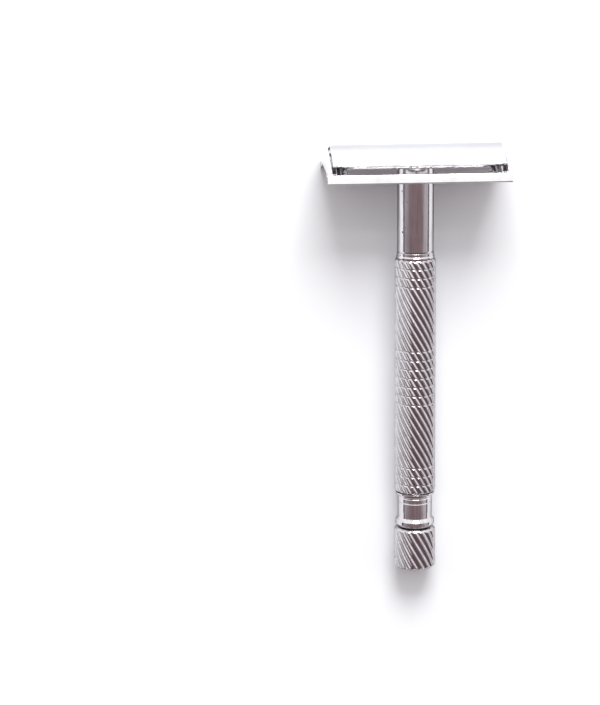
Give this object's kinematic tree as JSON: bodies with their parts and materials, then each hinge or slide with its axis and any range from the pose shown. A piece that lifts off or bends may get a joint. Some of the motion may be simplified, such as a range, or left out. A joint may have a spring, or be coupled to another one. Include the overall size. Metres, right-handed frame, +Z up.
{
  "type": "safety razor",
  "caption": "Twist-to-open double-edge safety razor with a fluted handle, a turning knob, a guard with safety bars and butterfly doors over a blade.",
  "frame": {"origin": "centre of the box round the closed razor, on the surface it lies on", "axes": "+X along the blade, +Y along the handle from the knob to the head, +Z up from the surface; the handle rises by 3.96 degrees towards the head"},
  "size_m": [0.046, 0.1102, 0.0245],
  "materials": {
    "chrome_fluted": "bright chrome over fine machined flutes",
    "chrome_polished": "mirror-bright chrome",
    "chrome_head": "bright chrome over stamped brass",
    "chrome_door": "bright chrome over stamped brass",
    "brass_turned": "turned, unplated",
    "stem_steel": "turned",
    "spring_steel": "dark spring temper",
    "pin_steel": "ground",
    "blade_steel": "fine ground edges"
  },
  "bodies": {
    "handle": {"handle_grip": "chrome_fluted", "neck_tube": "chrome_polished", "neck_collar": "chrome_polished", "waist_ferrule": "chrome_polished", "knob_bush": "brass_turned", "friction_washer": "spring_steel", "thrust_washer": "spring_steel", "stem_bush": "brass_turned", "guard_plate": "chrome_head", "guard_collar": "brass_turned", "guide_pins": "pin_steel"},
    "knob": {"twist_knob": "chrome_fluted", "knob_spindle": "brass_turned", "knob_end_cap": "chrome_polished", "retaining_ring": "spring_steel"},
    "carriage": {"lift_stem": "stem_steel", "centre_bar": "chrome_head", "stem_cap_nut": "stem_steel", "end_plate_left": "chrome_head", "end_plate_right": "chrome_head", "hinge_pins": "pin_steel", "blade": "blade_steel"},
    "front_door": {"door_front": "chrome_door"},
    "rear_door": {"door_rear": "chrome_door"}
  },
  "joints": [
    {"name": "knob_turn", "type": "hinge", "parent": "handle", "child": "knob", "pos_m": [0, -0.04982, 0.00554], "axis": [0, -0.9976, -0.069], "range_deg": [0, 540]},
    {"name": "carriage_lift", "type": "slide", "parent": "handle", "child": "carriage", "axis": [0, 0.9976, 0.069], "range_m": [0, 0.0017]},
    {"name": "front_door_swing", "type": "hinge", "parent": "carriage", "child": "front_door", "pos_m": [0, 0.04799, 0.02173], "axis": [1, 0, 0], "range_deg": [0, 78]},
    {"name": "rear_door_swing", "type": "hinge", "parent": "carriage", "child": "rear_door", "pos_m": [0, 0.04929, 0.00298], "axis": [-1, 0, 0], "range_deg": [0, 78]}
  ],
  "couplings": [
    {"joint": "knob_turn", "follows": "carriage_lift", "rad_per_m": 5543.9},
    {"joint": "front_door_swing", "follows": "carriage_lift", "rad_per_m": 800.79},
    {"joint": "rear_door_swing", "follows": "carriage_lift", "rad_per_m": 800.79}
  ]
}
